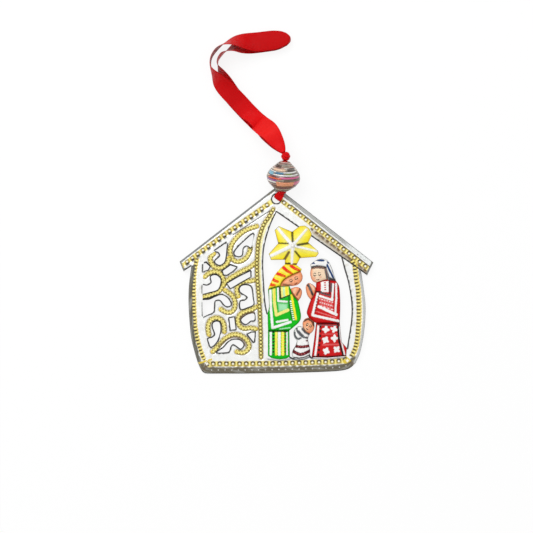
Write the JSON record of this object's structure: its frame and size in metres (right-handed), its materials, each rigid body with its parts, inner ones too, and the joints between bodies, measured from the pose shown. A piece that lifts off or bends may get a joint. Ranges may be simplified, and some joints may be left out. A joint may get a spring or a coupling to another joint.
{
  "type": "hanging nativity ornament",
  "caption": "House-shaped sheet-steel nativity ornament with a pierced scroll lattice, beaded border and painted figures, hung by a ribbon loop through a paper bead.",
  "frame": {"origin": "middle of the house's outline box, on the surface that the turned edge rests on", "axes": "+X to the right of the picture, +Y from the base to the roof peak, +Z out of the front"},
  "size_m": [0.0954, 0.1672, 0.0164],
  "materials": {
    "gilded_border": "gold paint on bosses over bright hammered steel",
    "sheet_steel": "bright hammered steel with dark cut edges",
    "star_yellow": "gloss enamel",
    "scarf_yellow": "gloss enamel with orange stripes",
    "skin_warm": "satin enamel",
    "skin_light": "satin enamel",
    "robe_green": "gloss enamel with white and yellow lines",
    "cloth_white": "gloss enamel with blue stripes",
    "robe_red": "gloss enamel with white lines",
    "swaddle": "gloss enamel with dark red stripes",
    "bead_paper": "varnished rolled paper",
    "ribbon_red": "satin"
  },
  "bodies": {
    "plate": {"roof": "gilded_border", "left_wall": "gilded_border", "right_wall": "gilded_border", "base_sill": "gilded_border", "arch_band": "sheet_steel", "scroll_lattice": "sheet_steel", "star": "star_yellow", "left_scarf": "scarf_yellow", "left_face": "skin_warm", "left_hands": "skin_warm", "left_robe": "robe_green", "left_skirt": "robe_green", "right_head_cloth": "cloth_white", "right_face": "skin_light", "right_hands": "skin_light", "right_robe": "robe_red", "right_skirt": "robe_red", "child_head": "skin_warm", "child_swaddle": "swaddle", "ribbon_stitch": "ribbon_red"},
    "neck": {"ribbon_neck": "ribbon_red", "ribbon_knot": "ribbon_red"},
    "bead": {"paper_bead": "bead_paper"},
    "loop": {"ribbon_loop": "ribbon_red"}
  },
  "joints": [
    {"name": "hanger_lift", "type": "hinge", "parent": "plate", "child": "neck", "pos_m": [0.00258, 0.04272, 0.00663], "axis": [1, 0, 0], "range_deg": [0, 105]},
    {"name": "bead_spin", "type": "hinge", "parent": "neck", "child": "bead", "pos_m": [0.0034, 0.0505, 0.0083], "axis": [0.1022, 0.9728, 0.2079], "continuous": true},
    {"name": "loop_swing", "type": "hinge", "parent": "neck", "child": "loop", "pos_m": [0.0044, 0.05998, 0.01032], "axis": [0, 0, 1], "range_deg": [-80, 35]}
  ]
}
